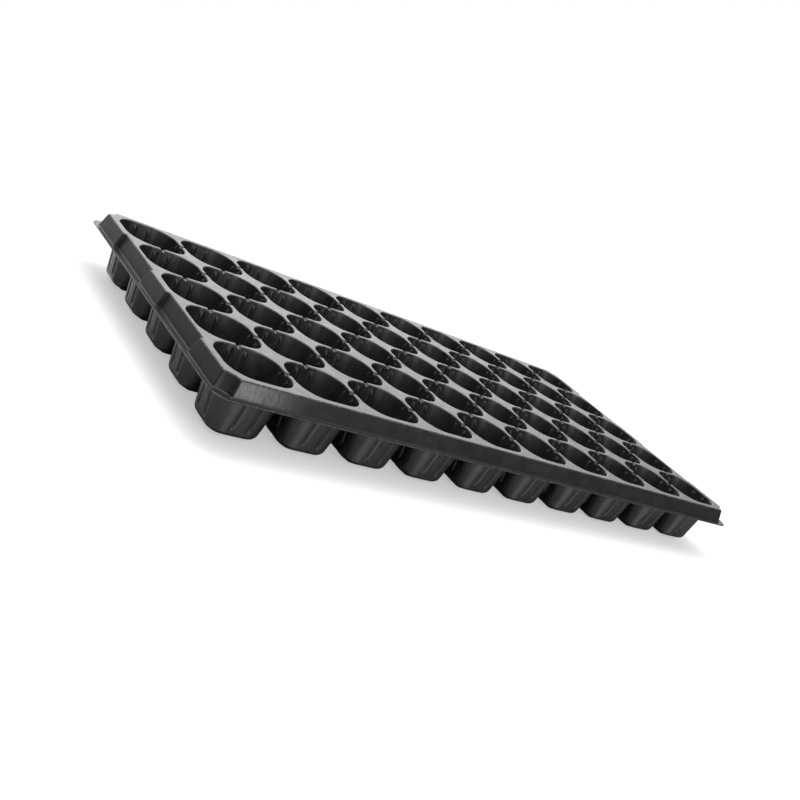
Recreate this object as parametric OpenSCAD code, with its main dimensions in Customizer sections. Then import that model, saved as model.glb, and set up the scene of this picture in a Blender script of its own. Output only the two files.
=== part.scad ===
// Plug tray with 50 tapered cells, thermoformed from one black plastic sheet.
//
// The sheet is laid out as named sub-parts, split where its form changes: the flat deck
// with the link channels pressed into its webs, the cell cups row by row, the raised foot
// pads, the turned-down skirt, the corner scoops, the rim flange and the lugs. Each
// sub-part is a closed solid that meets its neighbours face to face.
//
// Frame: +Z up, origin at the centre of the tray on the plane that the feet stand on,
// +X along the long side, front is -Y.

/* [Cells] */
// Number of cells along the long side
columns = 10; // [4:1:12]
// Distance between neighbouring cell centres
cell_pitch = 52; // [51:0.5:58]
// Side of the square cell opening at the deck
cell_opening = 48; // [42:0.5:49]
// Corner radius of the cell opening at the deck
opening_corner_r = 16.5; // [14:0.5:17.5]
// Draft of the cell walls in degrees
cell_draft = 8.5; // [5:0.5:9]
// Radius of the shoulder between cell wall and cell floor
shoulder_r = 5; // [3:0.5:6]

/* [Feet] */
// Side of the square foot pad under each cell
pad_side = 22; // [19:0.5:23]
// Height of the foot pad below the cell floor
pad_drop = 2; // [1.5:0.1:3]
// Diameter of the drain hole in each foot pad
drain_d = 10; // [5:0.5:14]

/* [Tray] */
// Overall height from the feet to the top of the deck
tray_h = 45; // [38:1:60]
// Height of the rim, from the underside of the flange to the top of the deck
rim_h = 12.5; // [9:0.5:18]
// Thickness of the deck, skirt and flange
sheet_t = 1; // [0.8:0.1:1.2]
// Thickness of the drawn cell wall
cell_wall_t = 0.5; // [0.4:0.1:1]

/* [Rim] */
// Flat deck left between the outermost cell openings and the deck edge
deck_margin = 6; // [5:0.5:8]
// Outward draft of the skirt over its height
skirt_flare = 3; // [1:0.25:4]
// Overhang of the flange beyond the bottom of the skirt
flange_w = 3; // [2.5:0.5:8]
// Depth of the two recesses in each short side of the skirt
recess_depth = 2.5; // [1.5:0.1:3]
// Radius of the concave scoop at each corner, at the bottom of the skirt
scoop_r = 9; // [7:0.5:10]
// Outer corner radius of the flange
flange_corner_r = 11; // [8:0.5:14]

/* [Details] */
// Width of the link channel between neighbouring cells
channel_w = 3.6; // [2.4:0.2:4.4]
// Distance between the two root-training ribs on each cell wall
rib_spacing = 12; // [8:0.5:13]
// Width of a rib where it meets the cell wall
rib_w = 2.6; // [1.6:0.2:3]
// Distance that a rib stands into the cell
rib_depth = 1; // [0.6:0.1:1.4]

/* [Hidden] */

$fn = 48;

// Rows are fixed at five, because every row is a node of its own.
rows = 5;

// Colours of the sheet: the deck catches the light, the deep-drawn walls stay darker.
deck_colour = [0.30, 0.30, 0.31];
cup_colour = [0.13, 0.13, 0.14];
pad_colour = [0.36, 0.36, 0.36];
skirt_colour = [0.20, 0.20, 0.21];

// Cut margin, so that a cutting solid never ends flush with what it cuts.
cut = 1;

// Deck and rim levels.
deck_under = tray_h - sheet_t;
flange_under = tray_h - rim_h;
flange_top = flange_under + sheet_t;

// Half lengths of the deck edge at deck level.
deck_hx = (columns - 1) * cell_pitch / 2 + cell_opening / 2 + deck_margin;
deck_hy = (rows - 1) * cell_pitch / 2 + cell_opening / 2 + deck_margin;

// Half lengths of the flange.
flange_hx = deck_hx + skirt_flare + flange_w;
flange_hy = deck_hy + skirt_flare + flange_w;

// The scoops are centred where the flared skirt faces would meet at the flange.
scoop_x = deck_hx + skirt_flare;
scoop_y = deck_hy + skirt_flare;

// The recesses in the short sides start and end at these distances from the middle,
// counted first in cell pitches.
recess_start_cells = 0.35;
recess_end_cells = 1.62;
recess_from = recess_start_cells * cell_pitch;
recess_to = recess_end_cells * cell_pitch;

// A cell has a square core with straight sides; its rounded corners turn about the
// corners of the core, so the corner radius shrinks as the cell narrows.
core_h = cell_opening / 2 - opening_corner_r;

// Cell wall profile, as distance out from the core against height.
shoulder_steps = 5;
outer_top_r = opening_corner_r + cell_wall_t;
cell_floor_under = pad_drop;
shoulder_z = cell_floor_under + shoulder_r;
shoulder_c = outer_top_r + ((shoulder_z - deck_under) * sin(cell_draft) - shoulder_r) / cos(cell_draft);
inner_knee_z = deck_under + cell_wall_t * (1 / cos(cell_draft) - 1) / tan(cell_draft);
pad_top_r = pad_side / 2 - core_h;
pad_flare = 0.3;

function shoulder_arc(r) = [
    for (k = [0 : shoulder_steps])
        let (a = -cell_draft - (90 - cell_draft) * k / shoulder_steps)
        [shoulder_c + r * cos(a), shoulder_z + r * sin(a)]
];

function reversed(list) = [for (k = [len(list) - 1 : -1 : 0]) list[k]];

cell_profile = concat(
    [[outer_top_r, tray_h], [outer_top_r, deck_under]],
    shoulder_arc(shoulder_r),
    [[pad_top_r, cell_floor_under], [pad_top_r, cell_floor_under + cell_wall_t]],
    reversed(shoulder_arc(shoulder_r - cell_wall_t)),
    [[opening_corner_r, inner_knee_z], [opening_corner_r, tray_h]]
);

pad_profile = [
    [0, 0],
    [pad_top_r - pad_flare, 0],
    [pad_top_r, cell_floor_under],
    [pad_top_r, cell_floor_under + cell_wall_t],
    [pad_top_r - cell_wall_t, cell_floor_under + cell_wall_t],
    [pad_top_r - pad_flare - cell_wall_t, cell_wall_t],
    [0, cell_wall_t]
];

// Rib length, along the sloping wall, between the shoulder and just below the rim.
rib_top_gap = 2;
rib_bottom_gap = 1;
rib_bed = 0.2;
rib_top_z = deck_under - rib_top_gap;
rib_bottom_z = shoulder_z + rib_bottom_gap;
rib_length = (rib_top_z - rib_bottom_z) / cos(cell_draft);
rib_foot_r = outer_top_r - (deck_under - rib_bottom_z) * tan(cell_draft) - cell_wall_t / cos(cell_draft);

// Middle of the cell in a column and a row; row 1 is at the front.
function cell_x(column) = (column - (columns - 1) / 2) * cell_pitch;
function cell_y(row) = (row - (rows + 1) / 2) * cell_pitch;

// One turn of a wall profile around the square core of a cell.
module around_core(profile) {
    for (quarter = [0 : 3]) {
        rotate(90 * quarter) {
            translate([core_h, core_h, 0])
                rotate_extrude(angle = 90) polygon(profile);
            translate([core_h, 0, 0])
                rotate([90, 0, 0])
                    linear_extrude(2 * core_h, center = true) polygon(profile);
        }
    }
}

// The two ribs that stand into the cell on its +X wall.
module wall_ribs() {
    for (side = [-1, 1]) {
        translate([core_h + rib_foot_r, side * rib_spacing / 2, rib_bottom_z])
            rotate([0, cell_draft, 0])
                linear_extrude(rib_length)
                    polygon([[rib_bed, -rib_w / 2], [-rib_depth, 0], [rib_bed, rib_w / 2]]);
    }
}

// One cell cup, open at the top and in the middle of its floor.
module cell_cup() {
    around_core(cell_profile);
    for (quarter = [0 : 3]) {
        rotate(90 * quarter) wall_ribs();
    }
}

// Round bars that press the link channels into the webs. They run between the middles of
// neighbouring cells: along a row, and between a row and the rows next to it.
module row_channel_bar(row, r) {
    translate([cell_x(0), cell_y(row), tray_h])
        rotate([0, 90, 0]) cylinder(h = (columns - 1) * cell_pitch, r = r);
}

module column_channel_bar(column, first_row, last_row, r) {
    translate([cell_x(column), cell_y(first_row), tray_h])
        rotate([-90, 0, 0]) cylinder(h = (last_row - first_row) * cell_pitch, r = r);
}

module cell_row(row) {
    color(cup_colour) difference() {
        for (column = [0 : columns - 1]) {
            translate([cell_x(column), cell_y(row), 0]) cell_cup();
        }
        row_channel_bar(row, channel_w / 2);
        for (column = [0 : columns - 1]) {
            column_channel_bar(column, max(1, row - 1), min(rows, row + 1), channel_w / 2);
        }
    }
}

// The raised square foot with its drain hole.
module foot_pad() {
    difference() {
        union() {
            around_core(pad_profile);
            translate([-core_h, -core_h, 0]) cube([2 * core_h, 2 * core_h, cell_wall_t]);
        }
        translate([0, 0, -cut]) cylinder(h = cell_wall_t + 2 * cut, d = drain_d);
    }
}

module foot_pads_row(row) {
    color(pad_colour)
        for (column = [0 : columns - 1]) {
            translate([cell_x(column), cell_y(row), 0]) foot_pad();
        }
}

// Outline of a cell where it passes through the deck.
module cell_outline() {
    square([2 * core_h, 2 * (core_h + outer_top_r)], center = true);
    square([2 * (core_h + outer_top_r), 2 * core_h], center = true);
    for (sx = [-1, 1], sy = [-1, 1]) {
        translate([sx * core_h, sy * core_h]) circle(outer_top_r);
    }
}

// Solid block inside the skirt faces, set in by a wall thickness. Its four sides flare
// outward going down; the short sides have two recesses and the corners are scooped out.
module flared_slab(half, length, inset) {
    rotate([90, 0, 0])
        linear_extrude(length, center = true)
            polygon([
                [-half - skirt_flare + inset, flange_under],
                [half + skirt_flare - inset, flange_under],
                [half - inset, tray_h],
                [-half + inset, tray_h]
            ]);
}

module recess_cutter(inset) {
    recess_x = deck_hx - recess_depth - inset;
    translate([0, (recess_from + recess_to) / 2, 0])
        rotate([90, 0, 0])
            linear_extrude(recess_to - recess_from + 2 * inset, center = true)
                polygon([
                    [recess_x + skirt_flare * (1 + cut / rim_h), flange_under - cut],
                    [flange_hx, flange_under - cut],
                    [flange_hx, tray_h + cut],
                    [recess_x - skirt_flare * cut / rim_h, tray_h + cut]
                ]);
}

// The hollow of each scoop has the same draft as the skirt, so it widens towards the deck.
module scoop_hollows(inset) {
    past = skirt_flare * cut / rim_h;
    for (sx = [-1, 1], sy = [-1, 1]) {
        translate([sx * scoop_x, sy * scoop_y, flange_under - cut])
            cylinder(
                h = rim_h + 2 * cut,
                r1 = scoop_r + inset - past,
                r2 = scoop_r + inset + skirt_flare + past
            );
    }
}

// Round bars through the flange that separate the lugs from it.
module lug_bars() {
    for (sx = [-1, 1], sy = [-1, 1]) {
        translate([sx * scoop_x, sy * scoop_y, flange_under - cut])
            cylinder(h = sheet_t + 2 * cut, r = scoop_r);
    }
}

module rim_block(inset) {
    difference() {
        intersection() {
            flared_slab(deck_hx, 2 * flange_hy, inset);
            rotate(90) flared_slab(deck_hy, 2 * flange_hx, inset);
        }
        for (mx = [0, 1], my = [0, 1]) {
            mirror([mx, 0, 0]) mirror([0, my, 0]) recess_cutter(inset);
        }
        scoop_hollows(inset);
    }
}

// The hanging wall of the rim, between the flange and the deck.
module rim_wall() {
    difference() {
        rim_block(0);
        rim_block(sheet_t);
        translate([-flange_hx, -flange_hy, deck_under]) cube([2 * flange_hx, 2 * flange_hy, 2 * cut]);
        translate([-flange_hx, -flange_hy, flange_top - 2 * cut - sheet_t])
            cube([2 * flange_hx, 2 * flange_hy, 2 * cut + sheet_t]);
    }
}

// The corner pieces reach this far along the sides from the middle of the tray.
corner_x = scoop_x - scoop_r - skirt_flare - 2 * sheet_t;
corner_y = scoop_y - scoop_r - skirt_flare - 2 * sheet_t;

module long_skirt() {
    color(skirt_colour) intersection() {
        rim_wall();
        translate([-corner_x, -flange_hy, flange_under])
            cube([2 * corner_x, flange_hy - corner_y, rim_h]);
    }
}

module short_skirt() {
    color(skirt_colour) intersection() {
        rim_wall();
        translate([-flange_hx, -corner_y, flange_under])
            cube([flange_hx - corner_x, 2 * corner_y, rim_h]);
    }
}

module skirt_front() {
    long_skirt();
}

module skirt_back() {
    rotate(180) long_skirt();
}

module skirt_left() {
    short_skirt();
}

module skirt_right() {
    rotate(180) short_skirt();
}

module corner_scoops() {
    color(skirt_colour)
        for (mx = [0, 1], my = [0, 1]) {
            mirror([mx, 0, 0]) mirror([0, my, 0]) intersection() {
                rim_wall();
                translate([corner_x, corner_y, flange_under])
                    cube([flange_hx - corner_x, flange_hy - corner_y, rim_h]);
            }
        }
}

// One half-round channel from cell to cell, centred on the web and running along X.
module link_channel() {
    rotate([0, 90, 0])
        linear_extrude(cell_pitch - cell_opening, center = true)
            difference() {
                circle(channel_w / 2);
                circle(channel_w / 2 - cell_wall_t);
                translate([-channel_w, -channel_w]) square([channel_w, 2 * channel_w]);
            }
}

module link_channels() {
    for (column = [0 : columns - 2], row = [1 : rows]) {
        translate([cell_x(column) + cell_pitch / 2, cell_y(row), tray_h]) link_channel();
    }
    for (column = [0 : columns - 1], row = [1 : rows - 1]) {
        translate([cell_x(column), cell_y(row) + cell_pitch / 2, tray_h])
            rotate(90) link_channel();
    }
}

// The flat deck between the cells, with a link channel pressed into every web.
module deck_web() {
    color(deck_colour) {
        difference() {
            rim_block(0);
            translate([-flange_hx, -flange_hy, deck_under - rim_h])
                cube([2 * flange_hx, 2 * flange_hy, rim_h]);
            for (column = [0 : columns - 1], row = [1 : rows]) {
                translate([cell_x(column), cell_y(row), deck_under - cut])
                    linear_extrude(sheet_t + 2 * cut) cell_outline();
            }
            for (row = [1 : rows]) row_channel_bar(row, channel_w / 2);
            for (column = [0 : columns - 1]) column_channel_bar(column, 1, rows, channel_w / 2);
        }
        link_channels();
    }
}

// Flat plate with the outline of the flange.
module flange_plate() {
    long_x = flange_hx - flange_corner_r;
    long_y = flange_hy - flange_corner_r;
    translate([0, 0, flange_under]) linear_extrude(sheet_t) {
        square([2 * long_x, 2 * flange_hy], center = true);
        square([2 * flange_hx, 2 * long_y], center = true);
        for (sx = [-1, 1], sy = [-1, 1]) {
            translate([sx * long_x, sy * long_y]) circle(flange_corner_r);
        }
    }
}

module rim_flange() {
    color(skirt_colour) difference() {
        flange_plate();
        rim_block(sheet_t);
        lug_bars();
    }
}

// The flat lugs that fill the scoops at flange level.
module corner_lugs() {
    color(skirt_colour) intersection() {
        flange_plate();
        lug_bars();
    }
}

deck_web();
cell_row(1);  // cell_row_1
cell_row(2);  // cell_row_2
cell_row(3);  // cell_row_3
cell_row(4);  // cell_row_4
cell_row(5);  // cell_row_5
foot_pads_row(1);  // foot_pads_row_1
foot_pads_row(2);  // foot_pads_row_2
foot_pads_row(3);  // foot_pads_row_3
foot_pads_row(4);  // foot_pads_row_4
foot_pads_row(5);  // foot_pads_row_5
skirt_front();
skirt_back();
skirt_left();
skirt_right();
corner_scoops();
rim_flange();
corner_lugs();
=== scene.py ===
"""Looks for a black 50-cell plug tray: a thin formed sheet, its plastic, the floor, lights and camera.

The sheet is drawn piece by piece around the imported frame, as thin closed solids. Sizes are in
millimetres until a mesh is made. A patch is a stretch of the sheet: its upper points, their normals
and the thickness of the sheet give its underside, and each piece is closed along its open edges.
"""

import math

import bpy
import numpy as np
from mathutils import Matrix, Vector
from mathutils.geometry import delaunay_2d_cdt


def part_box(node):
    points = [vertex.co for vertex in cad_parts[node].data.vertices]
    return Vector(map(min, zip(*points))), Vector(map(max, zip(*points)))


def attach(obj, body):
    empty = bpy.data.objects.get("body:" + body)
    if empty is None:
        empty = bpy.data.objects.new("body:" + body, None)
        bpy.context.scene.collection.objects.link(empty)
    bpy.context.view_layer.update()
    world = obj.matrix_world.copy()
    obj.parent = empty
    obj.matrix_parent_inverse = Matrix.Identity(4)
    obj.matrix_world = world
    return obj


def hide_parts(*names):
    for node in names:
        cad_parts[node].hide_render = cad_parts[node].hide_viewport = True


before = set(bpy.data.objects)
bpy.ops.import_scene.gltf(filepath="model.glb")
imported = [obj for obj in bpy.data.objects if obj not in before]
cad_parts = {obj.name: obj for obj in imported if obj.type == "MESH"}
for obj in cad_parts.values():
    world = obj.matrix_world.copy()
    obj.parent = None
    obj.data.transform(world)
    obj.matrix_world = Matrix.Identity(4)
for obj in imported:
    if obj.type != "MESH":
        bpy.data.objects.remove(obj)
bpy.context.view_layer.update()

MM = 0.001
UP = np.array([0.0, 0.0, 1.0])


def box_mm(node):
    """Lowest and highest corner of a CAD node, in millimetres."""
    low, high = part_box(node)
    return np.array(low) / MM, np.array(high) / MM


# ---------------------------------------------------------------- sizes from the frame
_, deck_high = box_mm("deck_web")
flange_low, flange_high = box_mm("rim_flange")
skirt_low, skirt_high = box_mm("skirt_front")
row_low, row_high = box_mm("cell_row_1")
next_row_low, _ = box_mm("cell_row_2")
pad_low, pad_high = box_mm("foot_pads_row_1")

FLANGE_HX, FLANGE_HY, FLANGE_Z = flange_high
SHEET_T = FLANGE_Z - flange_low[2]
DECK_Z = deck_high[2]
SKIRT_SLOPE = (-skirt_low[1] - deck_high[1]) / (skirt_high[2] - skirt_low[2])
DECK_HX, DECK_HY = deck_high[:2] - SKIRT_SLOPE * SHEET_T
SKIRT_FLARE = SKIRT_SLOPE * (DECK_Z - flange_low[2])
PITCH = next_row_low[1] - row_low[1]
CUP_HALF = (row_high[1] - row_low[1]) / 2
PAD_HALF = (pad_high[1] - pad_low[1]) / 2
FLOOR_Z = pad_high[2]
WALL_T = FLOOR_Z - row_low[2]
ROWS = sum(name.startswith("cell_row_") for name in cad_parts)
COLUMNS = round((row_high[0] - row_low[0] - 2 * CUP_HALF) / PITCH) + 1

# ---------------------------------------------------------------- shape of one cell
CORE_HALF = 7.5  # half of the square core that the cell's rounded corners turn about
CELL_DRAFT = math.radians(8.5)
LIP_R = 1.1  # rounding of the deck into a cell
CUP_SHOULDER_R = 5.0  # outer rounding of a cup's wall into its floor
SHOULDER_R = CUP_SHOULDER_R - WALL_T
PAD_LIP_R = 0.7
PAD_FLOOR_R = 0.4
SEAM_R = 4.9  # the cup ends and the foot starts here, out from the core
DRAIN_R = 5.0
DRAIN_COLLAR = 1.2  # width of the flat ring of mesh round a drain hole
PUNCHED_EDGE = 0.12
DRAWN_BY = 5.0  # length down the cell at which the sheet has thinned to the cup's wall
CORNER_STEPS = 10
PAD_SIDE_STEPS = 8
CELL_LIP_RINGS = 5
CELL_MOUTH_RINGS = np.array([0.4, 0.8, 1.25])  # lengths past the lip
CELL_WALL_RINGS = np.array([0.45, 0.7, 0.83, 0.89, 0.95])  # shares of the wall
CELL_SHOULDER_RINGS = 6
PAD_LIP_RINGS = 5
PAD_FLOOR_RINGS = 4

CHANNEL_R = 1.8  # half width and depth of a link channel
CHANNEL_LIP = 1.28  # half width of the channel with its rounded lips, over CHANNEL_R
CHANNEL_BLEND = 0.35  # softening where a channel opens into a cell, as a share of its depth
CHANNEL_THINNING = 0.4
CHANNEL_CURVE = 0.6  # below 1, the channel's bottom is rounder and its sides are steeper
CHANNEL_COLUMNS = (0.22, 0.42, 0.6, 0.74, 0.87, 1.0)  # shares of CHANNEL_HALF

RIB_AT = 6.0  # distance of each rib from the middle of its wall
RIB_HALF = 1.35
RIB_DEPTH = 1.5
RIB_CREST = 0.1  # roundness of the crest, as a share of the rib's half width
RIB_COLUMNS = (-1.1, -0.9, -0.45, 0, 0.45, 0.9, 1.1)  # shares of RIB_HALF
RIB_TOP_Z = DECK_Z - 2.3
RIB_FACET_H = 3.4
RIB_FACET_FROM = 1.7  # length past the lip at which the mesh's close rings start
RIB_FACET_PAST = 0.4
RIB_FACET_RINGS = 7
RIB_FADE = (7.5, 12.0)  # heights between which a rib rises from the shoulder

# ---------------------------------------------------------------- shape of the rim
RIM_LIP_R = 1.25
RIM_FOOT_R = 1.5
RECESS_DEPTH = 2.5
RECESS_FROM = 0.35 * PITCH
RECESS_TO = 1.62 * PITCH
JOG_DRAFT = 0.25
SCOOP_FOOT_R = 9.0  # at the bottom of the skirt; the scoop widens upward with the skirt's draft
FLANGE_CORNER_R = 11.0
CUT_EDGE = 0.28  # rounding of the trimmed edge of the flange
OUTER_BEND = 1.1
INNER_BEND = 0.7
BEND_STEPS = 5
SCOOP_STEPS = 16
RIM_LIP_RINGS = 6
RIM_WALL_RINGS = np.array([0.25, 0.5, 0.75])  # shares of the wall
RIM_FOOT_RINGS = 5

# ---------------------------------------------------------------- wear, from 0 to 1
LIP_WEAR_WIDTH = 0.8
FOOT_EDGE_WEAR, FOOT_FLAT_WEAR = 1.0, 0.45
FOOT_EDGE_RINGS = 3  # rings of a foot, from the end of its lip, that are scuffed the most
RIM_LIP_WEAR, FLANGE_EDGE_WEAR = 1.0, 0.8

SMALL = 0.02  # step for slopes taken by difference
MERGED = 1e-4  # points of the deck this near each other are one
CHANNEL_INSIDE = 1e-3  # a face of the deck lies in a channel if its middle is this far within its edges
SOFT_GUARD, DIVIDE_GUARD, NORMAL_GUARD = 1e-6, 1e-9, 1e-12  # keep divisions away from 0


def unit(vectors):
    return vectors / np.linalg.norm(vectors, axis=-1, keepdims=True)


class FormedStep:
    """A drawn step of the sheet: level, convex bend, drafted wall, concave bend, level again."""

    def __init__(self, top_z, bottom_z, draft, convex_r, concave_r):
        self.top_z, self.draft = top_z, draft
        self.convex_r, self.concave_r = convex_r, concave_r
        turn = math.pi / 2 - draft
        self.start = -convex_r * math.tan(turn / 2)
        self.bend_1 = convex_r * turn
        drop = top_z - bottom_z - (convex_r + concave_r) * (1 - math.cos(turn))
        self.wall = drop / math.cos(draft)
        self.bend_2 = concave_r * turn
        self.length = self.bend_1 + self.wall + self.bend_2

    def at(self, u):
        """Run and height at length u along the sheet.

        The run is 0 where the wall would meet the upper level."""
        a = np.clip(u, 0, self.bend_1) / self.convex_r
        down = np.clip(u - self.bend_1, 0, self.wall)
        b = self.draft + np.clip(u - self.bend_1 - self.wall, 0, self.bend_2) / self.concave_r
        level = np.minimum(u, 0) + np.maximum(u - self.length, 0)
        run = self.start + level + self.convex_r * np.sin(a) + down * math.sin(self.draft)
        run += self.concave_r * (math.cos(self.draft) - np.cos(b))
        z = self.top_z - self.convex_r * (1 - np.cos(a)) - down * math.cos(self.draft)
        z -= self.concave_r * (np.sin(b) - math.sin(self.draft))
        return run, z


CELL = FormedStep(DECK_Z, FLOOR_Z, CELL_DRAFT, LIP_R, SHOULDER_R)
PAD = FormedStep(FLOOR_Z, WALL_T, CELL_DRAFT, PAD_LIP_R, PAD_FLOOR_R)
RIM = FormedStep(DECK_Z, FLANGE_Z, math.atan(SKIRT_SLOPE), RIM_LIP_R, RIM_FOOT_R)

WALL_TOP_R = CUP_HALF - CORE_HALF - WALL_T / math.cos(CELL_DRAFT) + SHEET_T * math.tan(CELL_DRAFT)
LIP_START_R = WALL_TOP_R - CELL.start
PAD_WALL_R = PAD_HALF - CORE_HALF - WALL_T
CHANNEL_HALF = CHANNEL_LIP * CHANNEL_R


# ---------------------------------------------------------------- patches and solids
class Patch:
    """A stretch of the sheet. Faces are rows of point numbers, counter-clockwise from above."""

    def __init__(self, top, normal, thickness, quads=None, triangles=None, wear=0.0):
        self.top = np.asarray(top, float)
        self.normal = np.asarray(normal, float)
        self.under = self.top - self.normal * np.broadcast_to(thickness, len(self.top))[:, None]
        self.under_normal = -self.normal
        self.quads = np.zeros((0, 4), int) if quads is None else np.asarray(quads, int)
        self.triangles = np.zeros((0, 3), int) if triangles is None else np.asarray(triangles, int)
        self.wear = np.array(np.broadcast_to(wear, len(self.top)), float)


def joined(patches, weld=False):
    """One patch from several. With weld, points in the same place become one."""
    both = Patch(np.vstack([p.top for p in patches]), np.vstack([p.normal for p in patches]), 0.0)
    both.under = np.vstack([p.under for p in patches])
    both.under_normal = np.vstack([p.under_normal for p in patches])
    both.wear = np.concatenate([p.wear for p in patches])
    starts = np.cumsum([0] + [len(p.top) for p in patches])
    both.quads = np.vstack([p.quads + s for p, s in zip(patches, starts)])
    both.triangles = np.vstack([p.triangles + s for p, s in zip(patches, starts)])
    if weld:
        keys = np.round(both.top / SMALL).astype(int)
        _, first, number = np.unique(keys, axis=0, return_index=True, return_inverse=True)
        number = number.ravel()
        for name in ("top", "normal", "under", "under_normal", "wear"):
            setattr(both, name, getattr(both, name)[first])
        both.quads, both.triangles = number[both.quads], number[both.triangles]
        a, b, c = both.triangles.T
        both.triangles = both.triangles[(a != b) & (b != c) & (c != a)]
    return both


def grid_quads(rings, columns, closed):
    """Quads of a grid whose points run ring by ring."""
    ring = np.arange(rings - 1)[:, None]
    column = np.arange(columns if closed else columns - 1)[None, :]
    after = (column + 1) % columns
    here, below = ring * columns, (ring + 1) * columns
    corners = (here + column, here + after, below + after, below + column)
    return np.stack(np.broadcast_arrays(*corners), axis=-1).reshape(-1, 4)


def open_edges(patch):
    """Edges that only one face uses, in that face's direction."""
    edges = [patch.quads[:, [k, (k + 1) % 4]] for k in range(4)]
    edges += [patch.triangles[:, [k, (k + 1) % 3]] for k in range(3)]
    edges = np.vstack(edges)
    count = len(patch.top)
    forward = edges[:, 0] * count + edges[:, 1]
    backward = edges[:, 1] * count + edges[:, 0]
    return edges[~np.isin(forward, backward)]


def thin_solid(name, patches, material, nodes, weld=False):
    """A closed thin solid from patches of the sheet, standing for CAD nodes."""
    patch = joined(patches, weld)
    count = len(patch.top)
    edge = open_edges(patch)
    caps = np.column_stack([edge[:, 1], edge[:, 0], edge[:, 0] + count, edge[:, 1] + count])
    points = np.vstack([patch.top, patch.under]) * MM
    under_quads = patch.quads[:, ::-1] + count
    under_triangles = patch.triangles[:, ::-1] + count
    groups = [patch.quads, under_quads, caps, patch.triangles, under_triangles]
    sizes = np.concatenate([np.full(len(g), g.shape[1]) for g in groups])
    corners = np.concatenate([g.ravel() for g in groups])

    mesh = bpy.data.meshes.new(name)
    mesh.vertices.add(len(points))
    mesh.vertices.foreach_set("co", points.ravel())
    mesh.loops.add(len(corners))
    mesh.loops.foreach_set("vertex_index", corners)
    mesh.polygons.add(len(sizes))
    mesh.polygons.foreach_set("loop_start", np.concatenate([[0], np.cumsum(sizes)[:-1]]))
    mesh.polygons.foreach_set("use_smooth", np.ones(len(sizes), bool))
    mesh.update(calc_edges=True)

    normals = np.vstack([patch.normal, patch.under_normal])[corners]
    first_cap = patch.quads.size + under_quads.size
    cap_points = points[caps]
    cap_normals = np.cross(cap_points[:, 2] - cap_points[:, 0], cap_points[:, 3] - cap_points[:, 1])
    cap_normals = unit(cap_normals + NORMAL_GUARD * UP)
    normals[first_cap : first_cap + caps.size] = np.repeat(cap_normals, 4, axis=0)
    mesh.normals_split_custom_set(normals)
    wear = mesh.attributes.new("wear", "FLOAT", "POINT")
    wear.data.foreach_set("value", np.concatenate([patch.wear, patch.wear]).astype(np.float32))
    mesh.materials.append(material)

    piece = bpy.data.objects.new(name, mesh)
    bpy.context.scene.collection.objects.link(piece)
    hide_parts(*nodes)
    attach(piece, "root")


# ---------------------------------------------------------------- the cells
MIDDLE = np.array([(COLUMNS - 1) / 2, (ROWS - 1) / 2])  # of the cell numbers, which start at 0


def cell_centre(column, row):
    return (np.array([column, row]) - MIDDLE) * PITCH


def neighbours(column, row):
    """Whether a cell has a neighbour on its right, back, left and front side."""
    return np.array([column < COLUMNS - 1, row < ROWS - 1, column > 0, row > 0])


def ring_frame(side_places):
    """For every column round a cell: foot on the core, way out, place along its side, side number."""
    turns = np.arange(1, CORNER_STEPS) * math.pi / 2 / CORNER_STEPS
    foot, out, place, side = [], [], [], []
    for quarter in range(4):
        spin = np.array(Matrix.Rotation(quarter * math.pi / 2, 2))
        for s in side_places:
            foot.append(spin @ (CORE_HALF, s))
            out.append(spin @ (1.0, 0.0))
            place.append(s)
            side.append(quarter)
        for turn in turns:
            foot.append(spin @ (CORE_HALF, CORE_HALF))
            out.append(spin @ (math.cos(turn), math.sin(turn)))
            place.append(CORE_HALF)
            side.append(quarter)
    return np.array(foot), np.array(out), np.array(place), np.array(side)


def cell_side_places():
    """Columns along one side of a cell, close together across the channel and the ribs."""
    channel = [CHANNEL_HALF * share for share in CHANNEL_COLUMNS]
    ribs = [RIB_AT + RIB_HALF * share for share in RIB_COLUMNS]
    half = channel + ribs + [CORE_HALF]
    return np.array([-s for s in reversed(half)] + [0.0] + half)


def smooth_step(x, start, end):
    t = np.clip((x - start) / (end - start), 0, 1)
    return t * t * (3 - 2 * t)


def channel_depth(s):
    """Depth of a half-round channel with rounded lips."""
    wave = 0.5 + 0.5 * np.cos(math.pi * np.clip(np.abs(s) / CHANNEL_HALF, 0, 1))
    return CHANNEL_R * wave**CHANNEL_CURVE


def rib_height(s, z):
    """How far the two ribs of a wall stand into the cell. Each starts with a sloped facet."""
    t = (np.abs(s) - RIB_AT) / RIB_HALF
    ridge = np.clip(1 + RIB_CREST - np.sqrt(t * t + RIB_CREST**2), 0, 1)
    facet = np.clip((RIB_TOP_Z - z) / RIB_FACET_H, 0, 1)
    return RIB_DEPTH * np.minimum(ridge, facet) * smooth_step(z, *RIB_FADE)


def cell_local(u, s, linked):
    """Distance out from the core, place along the side, and height of the upper face."""
    run, z = CELL.at(u)
    rib = rib_height(s, z)
    r = WALL_TOP_R - run - rib * math.cos(CELL_DRAFT)
    z = z + rib * math.sin(CELL_DRAFT)
    depth = channel_depth(s) * linked
    soft = np.maximum(CHANNEL_BLEND * depth, SOFT_GUARD)
    trough = DECK_Z - depth
    h = np.clip(0.5 + 0.5 * (trough - z) / soft, 0, 1)
    cut = trough + (z - trough) * h - soft * h * (1 - h)
    z = np.where(depth > 0, cut, z)
    return np.stack(np.broadcast_arrays(r, s, z), axis=-1)


def sheet_thickness(u, depth):
    """The sheet is thinner where it has been drawn further: down a cup, and in a channel."""
    drawn = smooth_step(u, 0, DRAWN_BY)
    return (SHEET_T + (WALL_T - SHEET_T) * drawn) * (1 - CHANNEL_THINNING * depth / CHANNEL_R)


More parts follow.
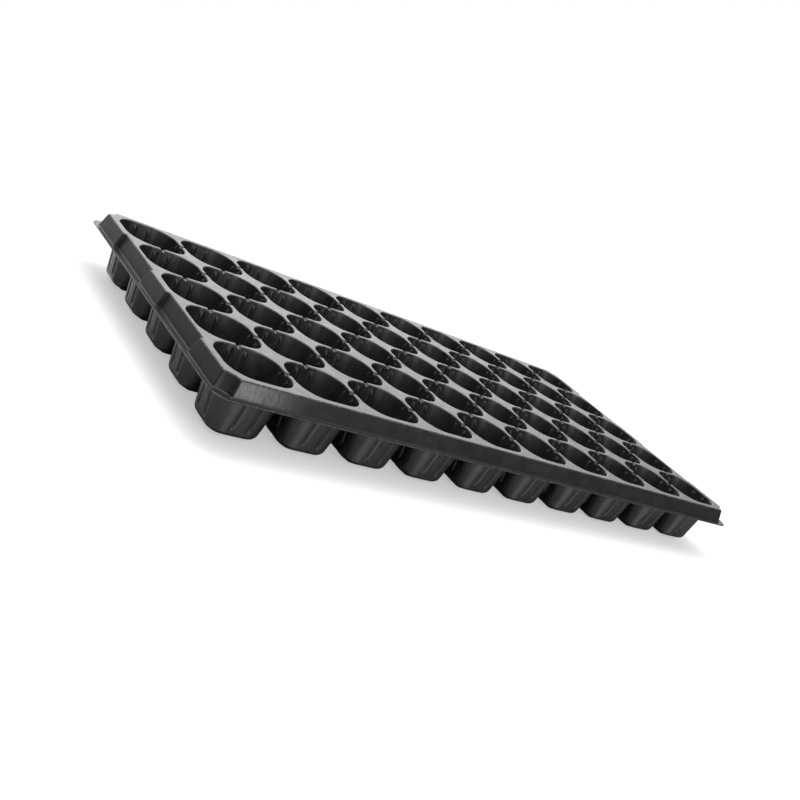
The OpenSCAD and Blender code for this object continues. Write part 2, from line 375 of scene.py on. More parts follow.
CELL_PLACES = cell_side_places()
CELL_FOOT, CELL_OUT, CELL_S, CELL_SIDE = ring_frame(CELL_PLACES)
PAD_FOOT, PAD_OUT, _, _ = ring_frame(np.linspace(-CORE_HALF, CORE_HALF, PAD_SIDE_STEPS + 1))


def cell_rings():
    """Lengths along the cell's profile at which the mesh has a ring."""
    lip = np.linspace(0, CELL.bend_1, CELL_LIP_RINGS)
    mouth = CELL.bend_1 + CELL_MOUTH_RINGS
    facet_to = RIB_FACET_FROM + RIB_FACET_H + RIB_FACET_PAST
    facet = CELL.bend_1 + np.linspace(RIB_FACET_FROM, facet_to, RIB_FACET_RINGS)
    wall = CELL.bend_1 + CELL.wall * CELL_WALL_RINGS
    shoulder = CELL.bend_1 + CELL.wall + np.linspace(0, CELL.bend_2, CELL_SHOULDER_RINGS)
    seam = CELL.length + (WALL_TOP_R - SEAM_R - CELL.at(CELL.length)[0])
    return np.concatenate([lip, mouth, facet, wall, shoulder, [seam]])


CELL_U = cell_rings()


def on_cell(local, foot, out, centre):
    """From distances about the core of a cell to points of the tray."""
    flat = centre + foot + out * local[..., 0:1]
    return np.concatenate([flat, local[..., 2:3]], axis=-1)


def cup_patch(column, row):
    """The drawn cup of one cell, from the lip at the deck to the seam on its floor."""
    linked = neighbours(column, row)[CELL_SIDE] * 1.0
    u = CELL_U[:, None]
    s = CELL_S[None, :]
    local = cell_local(u, s, linked)
    along = cell_local(u, s + SMALL, linked) - cell_local(u, s - SMALL, linked)
    inward = cell_local(u + SMALL, s, linked) - cell_local(u - SMALL, s, linked)
    slope = unit(np.cross(along, inward))
    side_way = np.column_stack([-CELL_OUT[:, 1], CELL_OUT[:, 0]])
    flat = CELL_OUT * slope[..., 0:1] + side_way * slope[..., 1:2]
    normal = np.concatenate([flat, slope[..., 2:3]], axis=-1)
    top = on_cell(local, CELL_FOOT, CELL_OUT, cell_centre(column, row))
    thickness = sheet_thickness(u, channel_depth(s) * linked)
    wear = np.exp(-(((u - CELL.bend_1 / 2) / LIP_WEAR_WIDTH) ** 2)) + 0 * s
    return Patch(
        top.reshape(-1, 3),
        normal.reshape(-1, 3),
        thickness.ravel(),
        quads=grid_quads(len(CELL_U), len(CELL_S), True),
        wear=wear.ravel(),
    )


def foot_patch(column, row):
    """The square foot under one cell, from the seam to the punched drain hole."""
    centre = cell_centre(column, row)
    seam_u = PAD_WALL_R - SEAM_R - PAD.start
    lip = np.linspace(0, PAD.bend_1, PAD_LIP_RINGS)
    floor = PAD.bend_1 + PAD.wall + np.linspace(0, PAD.bend_2, PAD_FLOOR_RINGS)
    u = np.concatenate([[seam_u], lip, floor])[:, None] + 0 * PAD_OUT[None, :, 0]
    columns = u.shape[1]
    run, z = PAD.at(u)
    ahead, behind = PAD.at(u + SMALL), PAD.at(u - SMALL)
    fall = unit(np.stack([ahead[0] - behind[0], ahead[1] - behind[1]], axis=-1))
    flat = centre + PAD_FOOT + PAD_OUT * (PAD_WALL_R - run)[..., None]
    top = np.concatenate([flat, z[..., None]], axis=-1)
    normal = np.concatenate([PAD_OUT * fall[..., 1:2], fall[..., 0:1]], axis=-1)

    angle = 2 * math.pi * (np.arange(columns) - PAD_SIDE_STEPS / 2) / columns
    spoke = np.column_stack([np.cos(angle), np.sin(angle)])
    hole_r = (DRAIN_R + DRAIN_COLLAR, DRAIN_R + PUNCHED_EDGE, DRAIN_R)
    hole_z = (WALL_T, WALL_T, WALL_T - PUNCHED_EDGE)
    for radius, height in zip(hole_r, hole_z):
        ring = np.column_stack([centre + spoke * radius, np.full(columns, height)])
        top = np.concatenate([top, ring[None]])
        normal = np.concatenate([normal, np.tile(UP, (1, columns, 1))])
    wear = np.zeros(top.shape[:2])
    flat_from = PAD_LIP_RINGS + FOOT_EDGE_RINGS
    wear[PAD_LIP_RINGS:flat_from] = FOOT_EDGE_WEAR
    wear[flat_from:] = FOOT_FLAT_WEAR
    patch = Patch(
        top.reshape(-1, 3),
        normal.reshape(-1, 3),
        WALL_T,
        quads=grid_quads(len(top), columns, True),
        wear=wear.ravel(),
    )
    rim = slice(-columns, None)
    patch.under[rim, 2] = PUNCHED_EDGE
    inward = np.column_stack([-spoke, np.ones(columns)])
    patch.normal[rim] = unit(inward)
    patch.under_normal[rim] = unit(inward * (1, 1, -1))
    return patch


# ---------------------------------------------------------------- the rim
def softened(before, corner, after):
    """Points of a bend from before to after, pulled towards the corner."""
    t = np.linspace(0, 1, BEND_STEPS + 1)[:, None]
    before, corner, after = (np.asarray(p, float) for p in (before, corner, after))
    return before * (1 - t) ** 2 + corner * 2 * t * (1 - t) + after * t**2


def quarter_outline(d):
    """A quarter of the rim's plan, offset outward by d, from the middle of the right side to the back.

    The corner counts say where the corner piece starts and ends."""
    side_x, side_y = DECK_HX + d, DECK_HY + d
    recess_x = side_x - RECESS_DEPTH
    jog_1, jog_2 = RECESS_FROM + JOG_DRAFT * d, RECESS_TO - JOG_DRAFT * d
    scoop = np.array([DECK_HX + SKIRT_FLARE, DECK_HY + SKIRT_FLARE])
    radius = SCOOP_FOOT_R + SKIRT_FLARE - d
    angle_a = math.pi + math.acos((scoop[0] - side_x) / radius)
    angle_b = 1.5 * math.pi - math.acos((scoop[1] - side_y) / radius)
    step = OUTER_BEND / radius

    def on_scoop(angle):
        return scoop + radius * np.array([math.cos(angle), math.sin(angle)])

    end_a, end_b = on_scoop(angle_a), on_scoop(angle_b)
    parts = [
        np.array([[side_x, 0.0]]),
        softened((side_x, jog_1 - OUTER_BEND), (side_x, jog_1), (side_x - OUTER_BEND, jog_1)),
        softened((recess_x + INNER_BEND, jog_1), (recess_x, jog_1), (recess_x, jog_1 + INNER_BEND)),
        softened((recess_x, jog_2 - INNER_BEND), (recess_x, jog_2), (recess_x + INNER_BEND, jog_2)),
        softened((side_x - OUTER_BEND, jog_2), (side_x, jog_2), (side_x, jog_2 + OUTER_BEND)),
    ]
    corner_start = sum(len(p) for p in parts)
    angles = np.linspace(angle_a - step, angle_b + step, SCOOP_STEPS)[1:-1]
    parts += [
        softened((side_x, end_a[1] - OUTER_BEND), end_a, on_scoop(angle_a - step)),
        np.array([on_scoop(angle) for angle in angles]),
        softened(on_scoop(angle_b + step), end_b, (end_b[0] - OUTER_BEND, side_y)),
    ]
    corner_end = sum(len(p) for p in parts)
    return np.vstack(parts), corner_start, corner_end


def mirrored_round(quarter, tail):
    """All four quarters of a plan that is the same about both axes, counter-clockwise from the right.

    tail is the point that ends a quarter, in the middle of the back."""
    quarter = np.vstack([quarter, tail])
    back = quarter[::-1] * (-1, 1)
    half = np.vstack([quarter, back[1:]])
    return np.vstack([half, -half[1:-1]])


def outline(d):
    """The rim's whole plan, offset outward by d."""
    quarter, _, _ = quarter_outline(d)
    return mirrored_round(quarter, [[0.0, DECK_HY + d]])


def outer_edge(inset):
    """The trimmed edge of the flange, with one point for each column of the outline."""
    foot, start, end = quarter_outline(RIM.at(RIM.length)[0])
    half_x, half_y = FLANGE_HX - inset, FLANGE_HY - inset
    radius = FLANGE_CORNER_R - inset
    step = np.linalg.norm(np.diff(foot[: start + 1], axis=0), axis=1)
    climbed = np.concatenate([[0], np.cumsum(step)])
    side = np.column_stack([np.full(start, half_x), foot[start, 1] * climbed[:-1] / climbed[-1]])

    centre = np.array([half_x - radius, half_y - radius])
    straight_a = centre[1] - foot[start, 1]
    straight_b = centre[0] - foot[end - 1, 0]
    arc = radius * math.pi / 2
    corner = []
    for way in np.linspace(0, straight_a + arc + straight_b, end - start):
        turn = np.clip((way - straight_a) / radius, 0, math.pi / 2)
        point = centre + radius * np.array([math.cos(turn), math.sin(turn)])
        point += (-max(way - straight_a - arc, 0.0), min(way - straight_a, 0.0))
        corner.append(point)
    return mirrored_round(np.vstack([side, corner]), [[0.0, half_y]])


def rim_patch():
    """The whole rim as one patch, with its counts of rings and columns and its first level ring."""
    lip = np.linspace(0, RIM.bend_1, RIM_LIP_RINGS)
    wall = RIM.bend_1 + RIM.wall * RIM_WALL_RINGS
    foot = RIM.bend_1 + RIM.wall + np.linspace(0, RIM.bend_2, RIM_FOOT_RINGS)
    rings = []
    for u in np.concatenate([lip, wall, foot]):
        run, z = RIM.at(u)
        plan = outline(run)
        rings.append(np.column_stack([plan, np.full(len(plan), z)]))
    level = len(rings) - 1
    near, far = rings[-1][:, :2], outer_edge(CUT_EDGE)
    for plan in (near * 0.5 + far * 0.5, far):
        rings.append(np.column_stack([plan, np.full(len(plan), FLANGE_Z)]))
    edge = outer_edge(0.0)
    rings.append(np.column_stack([edge, np.full(len(edge), FLANGE_Z - CUT_EDGE)]))
    top = np.array(rings)
    ring_count, columns = top.shape[:2]
    quads = grid_quads(ring_count, columns, True)[:, ::-1]

    points = top.reshape(-1, 3)
    first, second, third, fourth = (points[quads[:, k]] for k in range(4))
    across = np.cross(third - first, fourth - second)
    normal = np.zeros_like(points)
    for k in range(4):
        np.add.at(normal, quads[:, k], across)
    normal = unit(normal).reshape(top.shape)
    normal[0] = UP
    normal[level:-1] = UP
    outward = unit(np.roll(edge, -1, axis=0) - np.roll(edge, 1, axis=0))
    outward = np.column_stack([outward[:, 1], -outward[:, 0], np.ones(columns)])
    wear = np.zeros((ring_count, columns))
    wear[1 : RIM_LIP_RINGS - 1] = RIM_LIP_WEAR
    wear[-2:] = FLANGE_EDGE_WEAR
    patch = Patch(points, normal.reshape(-1, 3), SHEET_T, quads=quads, wear=wear.ravel())
    last = slice(-columns, None)
    patch.under[last] = points[last]
    patch.under[last, 2] = FLANGE_Z - SHEET_T + CUT_EDGE
    patch.normal[last] = unit(outward)
    patch.under_normal[last] = unit(outward * (1, 1, -1))
    return patch, ring_count, columns, level


def part_of_grid(patch, columns, first_ring, last_ring, first_column, last_column):
    """The stretch of a closed grid between two rings and two columns, both included."""
    ring = np.arange(first_ring, last_ring + 1)
    column = np.arange(first_column, last_column + 1) % columns
    pick = (ring[:, None] * columns + column[None, :]).ravel()
    piece = Patch(patch.top[pick], patch.normal[pick], 0.0)
    piece.under = patch.under[pick]
    piece.under_normal = patch.under_normal[pick]
    piece.wear = patch.wear[pick]
    piece.quads = grid_quads(len(ring), len(column), False)[:, ::-1]
    return piece


# ---------------------------------------------------------------- the deck
def inside(points, loop):
    """Which points lie inside a closed loop."""
    x, y = points[:, 0][:, None], points[:, 1][:, None]
    start, end = loop, np.roll(loop, -1, axis=0)
    spans = (start[:, 1] > y) != (end[:, 1] > y)
    rise = np.where(end[:, 1] == start[:, 1], DIVIDE_GUARD, end[:, 1] - start[:, 1])
    crossing = start[:, 0] + (y - start[:, 1]) * (end[:, 0] - start[:, 0]) / rise
    return (spans & (x < crossing)).sum(axis=1) % 2 == 1


def deck_patches():
    """The level deck between the lips of the cells, and the link channels pressed into its webs."""
    lip_half = CORE_HALF + LIP_START_R
    rim_loop = outline(RIM.at(0.0)[0])
    points, edges, strips = [], [], []

    def add_path(path, closed):
        first = len(points)
        points.extend(path)
        numbers = list(range(first, len(points)))
        edges.extend(zip(numbers[:-1], numbers[1:]))
        if closed:
            edges.append((numbers[-1], first))

    add_path(rim_loop, True)
    lip_loop = CELL_FOOT + CELL_OUT * LIP_START_R
    for row in range(ROWS):
        for column in range(COLUMNS):
            centre = cell_centre(column, row)
            has_next = neighbours(column, row)
            skipped = has_next[CELL_SIDE] & (np.abs(CELL_S) < CHANNEL_HALF - SMALL)
            add_path([p + centre for p, skip in zip(lip_loop, skipped) if not skip], True)
            strips += [(centre, way) for way, there in zip(np.eye(2), has_next) if there]
    for centre, way in strips:
        side_way = np.array([-way[1], way[0]])
        for s in (-CHANNEL_HALF, CHANNEL_HALF):
            near = centre + way * lip_half + side_way * s
            add_path([near, near + way * (PITCH - 2 * lip_half)], False)

    places = [Vector(p) for p in points]
    found, _, faces = delaunay_2d_cdt(places, edges, [], 0, MERGED)[:3]
    found = np.array([tuple(p) for p in found])
    faces = np.array([f for f in faces if len(f) == 3])
    middle = found[faces].mean(axis=1)
    number = np.clip(np.round(middle / PITCH + MIDDLE), 0, 2 * MIDDLE)
    offset = middle - (number - MIDDLE) * PITCH
    in_cell = np.hypot(*np.maximum(np.abs(offset) - CORE_HALF, 0).T) < LIP_START_R - MERGED
    in_web = np.zeros(len(faces), bool)
    for axis in (0, 1):
        following = number[:, axis] + np.sign(offset[:, axis])
        linked = (following >= 0) & (following <= 2 * MIDDLE[axis])
        in_channel = np.abs(offset[:, 1 - axis]) < CHANNEL_HALF - CHANNEL_INSIDE
        in_web |= linked & in_channel & (np.abs(offset[:, axis]) > CORE_HALF)
    kept = faces[~in_cell & ~in_web & inside(middle, rim_loop)]
    a, b, c = (found[kept[:, k]] for k in range(3))
    (ab_x, ab_y), (ac_x, ac_y) = (b - a).T, (c - a).T
    turned = ab_x * ac_y < ab_y * ac_x
    kept[turned] = kept[turned][:, ::-1]
    used, kept = np.unique(kept, return_inverse=True)
    flat = np.column_stack([found[used], np.full(len(used), DECK_Z)])
    patches = [Patch(flat, np.tile(UP, (len(flat), 1)), SHEET_T, triangles=kept.reshape(-1, 3))]

    places = CELL_PLACES[np.abs(CELL_PLACES) < CHANNEL_HALF + SMALL]
    depth = channel_depth(places)
    slope = (channel_depth(places + SMALL) - channel_depth(places - SMALL)) / (2 * SMALL)
    for centre, way in strips:
        side_way = np.array([-way[1], way[0]])
        top, normal = [], []
        for reach in (PITCH - lip_half, lip_half):
            plan = centre + way * reach + side_way * places[:, None]
            top.append(np.column_stack([plan, DECK_Z - depth]))
            normal.append(unit(np.column_stack([side_way * slope[:, None], np.ones(len(places))])))
        patches.append(
            Patch(
                np.vstack(top),
                np.vstack(normal),
                np.tile(sheet_thickness(0.0, depth), 2),
                quads=grid_quads(2, len(places), False),
            )
        )
    return patches


# ---------------------------------------------------------------- materials
class Nodes:
    """Short forms for building a shader."""

    def __init__(self, owner):
        owner.use_nodes = True
        self.tree = owner.node_tree
        self.tree.nodes.clear()

    def add(self, kind, inputs=None, **settings):
        node = self.tree.nodes.new(kind)
        for name, value in settings.items():
            setattr(node, name, value)
        for name, value in (inputs or {}).items():
            if isinstance(value, bpy.types.NodeSocket):
                self.tree.links.new(value, node.inputs[name])
            else:
                node.inputs[name].default_value = value
        return node

    def noise(self, vector, scale, detail=3.0, roughness=0.55):
        inputs = {"Vector": vector, "Scale": scale, "Detail": detail, "Roughness": roughness}
        return self.add("ShaderNodeTexNoise", inputs).outputs["Fac"]

    def stretched(self, vector, scale):
        return self.add("ShaderNodeMapping", {"Vector": vector, "Scale": scale}).outputs["Vector"]

    def ranged(self, value, low, high, to_low, to_high, curve="LINEAR"):
        inputs = {"Value": value, "From Min": low, "From Max": high, "To Min": to_low, "To Max": to_high}
        return self.add("ShaderNodeMapRange", inputs, interpolation_type=curve).outputs["Result"]

    def maths(self, operation, a, b):
        return self.add("ShaderNodeMath", {0: a, 1: b}, operation=operation).outputs[0]

    def mixed(self, share, a, b):
        node = self.add("ShaderNodeMix", data_type="RGBA")
        for socket, value in ((0, share), (6, a), (7, b)):
            if isinstance(value, bpy.types.NodeSocket):
                self.tree.links.new(value, node.inputs[socket])
            else:
                node.inputs[socket].default_value = value
        return node.outputs[2]

    def mixed_shaders(self, share, a, b):
        return self.add("ShaderNodeMixShader", {0: share, 1: a, 2: b}).outputs["Shader"]


def grey(value, warmth=0.0):
    return (value * (1 + warmth), value, value * (1 - warmth), 1.0)


GRAIN_SCALE, MOTTLE_SCALE, CLOUD_SCALE = 1900.0, 160.0, 22.0  # noise cells per metre, about
DRAW_SCALE = (420.0, 420.0, 14.0)  # the draw marks are long in z
CHIP_SCALE = 520.0
CHIP_RANGE = (0.42, 0.62)  # noise values between which an edge turns from whole to scuffed
FINE_DUST_AND_SHEEN = (0.35, 0.75, 0.25, 1.0)  # noise from the first to the second gives the third to the fourth
WIDE_DUST_AND_SHEEN = (0.3, 0.7, 0.4, 1.0)
STREAK_RANGE = (0.3, 0.75, -0.5, 0.5)
SCUFF_COLOUR = grey(0.2, 0.02)
SHINE_RANGE = (0.3, 0.7)
SHINE_SPREAD = (-0.05, 0.07)  # how far the mottle moves the roughness
STREAK_ROUGH, SCUFF_ROUGH = 0.12, 0.12
GRAIN_BUMP, CLOUD_BUMP, STREAK_BUMP, MOTTLE_BUMP = 0.012, 0.35, 0.14, 0.05  # heights in millimetres
BUMP_STRENGTH = 0.6
PLASTIC_IOR = 1.55


def formed_plastic(name, base, dust_and_sheen_grey, rough, streaks, scuffs, dust_and_sheen_share, specular=0.5):
    """Black formed polystyrene: fine grain, slow waviness, draw marks, a mottled grey film and worn
    edges. On the cups, rim and feet the film is real dirt; on the deck its lighter grey is painted
    sheen.
    """
    material = bpy.data.materials.new(name)
    nodes = Nodes(material)
    place = nodes.add("ShaderNodeTexCoord").outputs["Object"]
    grain = nodes.noise(place, GRAIN_SCALE, 2.0)
    mottle = nodes.noise(place, MOTTLE_SCALE, 5.0, 0.6)
    cloud = nodes.noise(place, CLOUD_SCALE, 4.0, 0.6)
    draw = nodes.noise(nodes.stretched(place, DRAW_SCALE), 1.0, 3.0)
    worn = nodes.add("ShaderNodeAttribute", attribute_name="wear").outputs["Fac"]
    broken = nodes.ranged(nodes.noise(place, CHIP_SCALE, 4.0, 0.65), *CHIP_RANGE, 0.0, 1.0)
    edge = nodes.maths("MULTIPLY", nodes.maths("MULTIPLY", worn, broken), scuffs)
    fine_dust_and_sheen = nodes.ranged(mottle, *FINE_DUST_AND_SHEEN)
    wide_dust_and_sheen = nodes.ranged(cloud, *WIDE_DUST_AND_SHEEN)
    dust_and_sheen_film = nodes.maths("MULTIPLY", nodes.maths("MULTIPLY", fine_dust_and_sheen, wide_dust_and_sheen), dust_and_sheen_share)
    streak = nodes.maths("MULTIPLY", nodes.ranged(draw, *STREAK_RANGE), streaks)

    # Mixes a lighter grey over the base through the mottled mask: dirt on the cups, rim and feet,
    # painted sheen on the deck.
    colour = nodes.mixed(dust_and_sheen_film, base, dust_and_sheen_grey)
    colour = nodes.mixed(edge, colour, SCUFF_COLOUR)
    shine = nodes.ranged(mottle, *SHINE_RANGE, *(rough + change for change in SHINE_SPREAD))
    for layer, share in ((streak, STREAK_ROUGH), (edge, SCUFF_ROUGH)):
        shine = nodes.maths("ADD", shine, nodes.maths("MULTIPLY", layer, share))

    height = nodes.maths("MULTIPLY", grain, GRAIN_BUMP)
    for layer, share in ((cloud, CLOUD_BUMP), (streak, STREAK_BUMP), (mottle, MOTTLE_BUMP)):
        height = nodes.maths("ADD", height, nodes.maths("MULTIPLY", layer, share))
    bump = nodes.add("ShaderNodeBump", {"Strength": BUMP_STRENGTH, "Distance": MM, "Height": height})
    looks = {
        "Base Color": colour,
        "Roughness": shine,
        "IOR": PLASTIC_IOR,
        "Specular IOR Level": specular,
        "Normal": bump.outputs["Normal"],
    }
    surface = nodes.add("ShaderNodeBsdfPrincipled", looks)
    nodes.add("ShaderNodeOutputMaterial", {"Surface": surface.outputs["BSDF"]})
    return material


# Same black plastic as the cups and rim: its lighter mixed-in grey (0.10 against 0.032 and 0.036) is
# painted sheen for the light its flat top reflects, not dirt.
deck_plastic = formed_plastic(
    "deck_plastic",
    base=grey(0.016),
    dust_and_sheen_grey=grey(0.10, 0.01),
    rough=0.36,
    streaks=0.0,
    scuffs=0.35,
    dust_and_sheen_share=0.6,
    specular=0.45,
)
cell_plastic = formed_plastic(
    "cell_plastic",
    base=grey(0.008),
    dust_and_sheen_grey=grey(0.032, 0.02),
    rough=0.33,
    streaks=1.0,
    scuffs=0.25,
    dust_and_sheen_share=0.5,
)
foot_plastic = formed_plastic(
    "foot_plastic",
    base=grey(0.016),
    dust_and_sheen_grey=grey(0.10, 0.02),
    rough=0.46,
    streaks=0.0,
    scuffs=0.8,
    dust_and_sheen_share=0.8,
)
rim_plastic = formed_plastic(
    "rim_plastic",
    base=grey(0.010),
    dust_and_sheen_grey=grey(0.036, 0.01),
    rough=0.35,
    streaks=0.6,
    scuffs=0.3,
    dust_and_sheen_share=0.5,
    specular=0.32,
)

# ---------------------------------------------------------------- the pieces
thin_solid("deck_sheet", deck_patches(), deck_plastic, ["deck_web"], weld=True)
for row in range(ROWS):
    number = row + 1
    cups = [cup_patch(column, row) for column in range(COLUMNS)]
    feet = [foot_patch(column, row) for column in range(COLUMNS)]
    thin_solid(f"cell_cups_row_{number}", cups, cell_plastic, [f"cell_row_{number}"])
    thin_solid(f"drain_feet_row_{number}", feet, foot_plastic, [f"foot_pads_row_{number}"])

rim, rim_rings, rim_columns, level_ring = rim_patch()
one_quarter, corner_first, corner_last = quarter_outline(0.0)
quarter_count = len(one_quarter)
back_right = (corner_first, corner_last - 1)
back_left = tuple(2 * quarter_count - k for k in reversed(back_right))
front_left = tuple(2 * quarter_count + k for k in back_right)
front_right = tuple(4 * quarter_count - k for k in reversed(back_right))
corners = [back_right, back_left, front_left, front_right]
sides = {
    "back": (back_right[1], back_left[0]),
    "left": (back_left[1], front_left[0]),
    "front": (front_left[1], front_right[0]),
    "right": (front_right[1], rim_columns + back_right[0]),
}


def rim_stretch(columns, first_ring, last_ring):
    """A stretch of the rim, given as a pair of columns and a pair of rings."""
    return part_of_grid(rim, rim_columns, first_ring, last_ring, *columns)


for side, columns in sides.items():
    stretch = [rim_stretch(columns, 0, level_ring)]
    thin_solid(f"{side}_skirt_wall", stretch, rim_plastic, [f"skirt_{side}"])
flange_parts = [rim_stretch(columns, level_ring, rim_rings - 1) for columns in sides.values()]
thin_solid("flange_lip", flange_parts, rim_plastic, ["rim_flange"])
scoop_parts = [rim_stretch(columns, 0, level_ring) for columns in corners]
thin_solid("scoop_walls", scoop_parts, rim_plastic, ["corner_scoops"])
lug_parts = [rim_stretch(columns, level_ring, rim_rings - 1) for columns in corners]
thin_solid("corner_lug_plates", lug_parts, rim_plastic, ["corner_lugs"])


# ---------------------------------------------------------------- floor, lights and camera
WHITE = grey(1.0)
BACKGROUND = 1.0
FLOOR_RADIUS = 12.0
FLOOR_POINTS = 96
FLOOR_GAP = 0.0002  # metres between the feet and the floor, so that no two faces share a plane
FLOOR_FADE = (0.6, 1.6)  # distances, in metres, over which the floor turns into the background
FLOOR_GLOW = 0.45  # share of the background's own light in the floor, which keeps its shadows pale
BOUNCE_NEAR, BOUNCE_FAR = 0.47, 0.095  # shares of its light that the floor throws back at the tray
BOUNCE_FADE = (0.32, 0.6)  # metres from the tray's middle over which that share falls
BOUNCE_GLOSS = 0.65  # share of a soft mirror in what the floor gives back to the tray
BOUNCE_ROUGH = 0.25
UNDER_GLOW = 1.2  # light on the tray's underside when it is looked at from below
BACK_WAY = (0.34, 0.94, 0.05)  # the studio's bright side, beyond the tray
BACK_EDGES = (0.6, 1.0)  # cosines from its direction between which a light of the studio grows
FRONT_GLOW, BACK_GLOW, TOP_GLOW = 0.07, 2.8, 1.5
KEY_WAY = (0.12, -0.93, 0.35)  # a soft key light in front of the tray
KEY_EDGES = (0.87, 0.98)
KEY_GLOW = 2.2
FILL_WAY = (-0.75, -0.64, 0.17)  # a faint light behind the viewer
FILL_EDGES = (0.85, 0.98)
FILL_GLOW = 0.45
TOP_EDGES = (0.5, 0.88)  # heights of a direction between which the overhead light grows

CAMERA_PLACE = (-0.539, -0.5875, 0.224)
CAMERA_ANGLES = (41.06, 15.24, 29.17)  # azimuth, pitch and roll, in degrees
CAMERA_LENS = 44.1  # millimetres


def pale_floor():
    """A white floor with soft shadows. It throws only part of its light back at the tray, partly as
    a soft mirror, and from below it is clear and lights the tray's underside."""
    mesh = bpy.data.meshes.new("floor")
    angle = np.arange(FLOOR_POINTS) * 2 * math.pi / FLOOR_POINTS
    ring = np.column_stack([np.cos(angle), np.sin(angle), 0 * angle]) * FLOOR_RADIUS
    mesh.from_pydata(ring.tolist(), [], [list(range(FLOOR_POINTS))])
    floor = bpy.data.objects.new("floor", mesh)
    floor.location.z = -FLOOR_GAP
    bpy.context.scene.collection.objects.link(floor)
    material = bpy.data.materials.new("pale_floor")
    nodes = Nodes(material)
    place = nodes.add("ShaderNodeTexCoord").outputs["Object"]
    distance = nodes.add("ShaderNodeVectorMath", {0: place}, operation="LENGTH").outputs["Value"]
    far = nodes.ranged(distance, *FLOOR_FADE, FLOOR_GLOW, 1.0, "SMOOTHSTEP")
    bounce = nodes.ranged(distance, *BOUNCE_FADE, BOUNCE_NEAR, BOUNCE_FAR, "SMOOTHSTEP")
    seen = nodes.add("ShaderNodeLightPath").outputs["Is Camera Ray"]
    shade = nodes.mixed(seen, bounce, grey(BACKGROUND))
    matt = nodes.add("ShaderNodeBsdfDiffuse", {"Color": shade}).outputs["BSDF"]
    mirror = nodes.add("ShaderNodeBsdfAnisotropic", {"Color": WHITE, "Roughness": BOUNCE_ROUGH})
    unseen = nodes.maths("SUBTRACT", 1.0, seen)
    gloss = nodes.maths("MULTIPLY", unseen, BOUNCE_GLOSS)
    matt = nodes.mixed_shaders(gloss, matt, mirror.outputs["BSDF"])
    glow = nodes.add("ShaderNodeEmission", {"Color": shade}).outputs["Emission"]
    both = nodes.mixed_shaders(nodes.maths("MULTIPLY", far, seen), matt, glow)
    below = nodes.add("ShaderNodeNewGeometry").outputs["Backfacing"]
    clear = nodes.add("ShaderNodeBsdfTransparent").outputs["BSDF"]
    crossed = nodes.add("ShaderNodeLightPath").outputs["Transparent Depth"]
    from_below = nodes.maths("MINIMUM", crossed, 1.0)
    lamp = nodes.add("ShaderNodeEmission", {"Color": WHITE, "Strength": UNDER_GLOW}).outputs["Emission"]
    upper = nodes.mixed_shaders(from_below, both, lamp)
    nodes.add("ShaderNodeOutputMaterial", {"Surface": nodes.mixed_shaders(below, upper, clear)})
    mesh.materials.append(material)


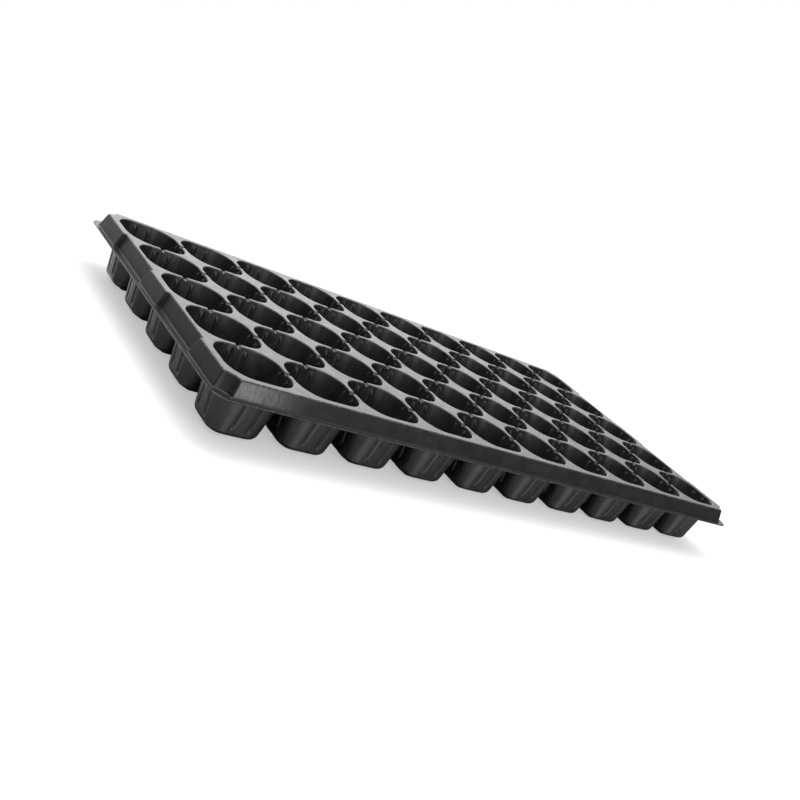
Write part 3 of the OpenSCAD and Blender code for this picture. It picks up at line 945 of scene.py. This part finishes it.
def studio_world():
    """White where the camera sees it. As light it is bright behind the tray and overhead, with a
    soft key light in front, a faint fill behind the viewer and little between them."""
    world = bpy.data.worlds.new("studio")
    bpy.context.scene.world = world
    nodes = Nodes(world)
    way = nodes.add("ShaderNodeTexCoord").outputs["Generated"]
    height = nodes.add("ShaderNodeSeparateXYZ", {"Vector": way}).outputs["Z"]
    glow = nodes.ranged(height, *TOP_EDGES, FRONT_GLOW, FRONT_GLOW + TOP_GLOW, "SMOOTHSTEP")
    lamps = [
        (BACK_WAY, BACK_EDGES, BACK_GLOW, "LINEAR"),
        (KEY_WAY, KEY_EDGES, KEY_GLOW, "SMOOTHSTEP"),
        (FILL_WAY, FILL_EDGES, FILL_GLOW, "SMOOTHSTEP"),
    ]
    for aim, edges, strength, curve in lamps:
        near = nodes.add("ShaderNodeVectorMath", {0: way, 1: aim}, operation="DOT_PRODUCT")
        lit = nodes.ranged(near.outputs["Value"], *edges, 0.0, strength, curve)
        glow = nodes.maths("ADD", glow, lit)
    seen = nodes.add("ShaderNodeLightPath").outputs["Is Camera Ray"]
    unseen = nodes.maths("SUBTRACT", 1.0, seen)
    as_light = nodes.maths("MULTIPLY", glow, unseen)
    as_backdrop = nodes.maths("MULTIPLY", seen, BACKGROUND)
    strength = nodes.maths("ADD", as_light, as_backdrop)
    light = nodes.add("ShaderNodeBackground", {"Color": WHITE, "Strength": strength})
    nodes.add("ShaderNodeOutputWorld", {"Surface": light.outputs["Background"]})


def softbox(name, place, target, size, power, spread=180.0):
    """An area light that the camera doesn't see. Its light stays within spread, in degrees."""
    data = bpy.data.lights.new(name, "AREA")
    data.shape = "RECTANGLE"
    data.size, data.size_y = size
    data.energy = power
    data.spread = math.radians(spread)
    lamp = bpy.data.objects.new(name, data)
    lamp.location = place
    lamp.rotation_euler = (Vector(target) - Vector(place)).to_track_quat("-Z", "Y").to_euler()
    lamp.visible_camera = False
    bpy.context.scene.collection.objects.link(lamp)


def photo_camera():
    """The camera is held tilted. Its azimuth runs from +Y towards +X, its pitch is how far it looks
    down, and its roll turns it about the way it looks."""
    place = Vector(CAMERA_PLACE)
    azimuth, pitch, roll = (math.radians(a) for a in CAMERA_ANGLES)
    ahead = math.cos(pitch)
    forward = Vector((math.sin(azimuth) * ahead, math.cos(azimuth) * ahead, -math.sin(pitch)))
    level = forward.cross(Vector((0, 0, 1))).normalized()
    right = level * math.cos(roll) + level.cross(forward) * math.sin(roll)
    upward = right.cross(forward)
    turn = Matrix((right, upward, -forward)).transposed()
    data = bpy.data.cameras.new("camera")
    data.lens = CAMERA_LENS
    data.sensor_width = 36.0
    data.clip_start = 0.01
    camera = bpy.data.objects.new("camera", data)
    camera.matrix_world = Matrix.Translation(place) @ turn.to_4x4()
    bpy.context.scene.collection.objects.link(camera)
    bpy.context.scene.camera = camera


pale_floor()
studio_world()
softbox("top_softbox", place=(-0.3, 0.2, 1.8), target=(0, 0, 0), size=(1.2, 1.2), power=14)
softbox(
    "corner_light",
    place=(-0.19, -0.25, 0.05),
    target=(-0.25, -0.138, 0.05),
    size=(0.05, 0.03),
    power=0.0028,
    spread=30.0,
)
photo_camera()
bpy.context.scene.view_settings.view_transform = "Standard"
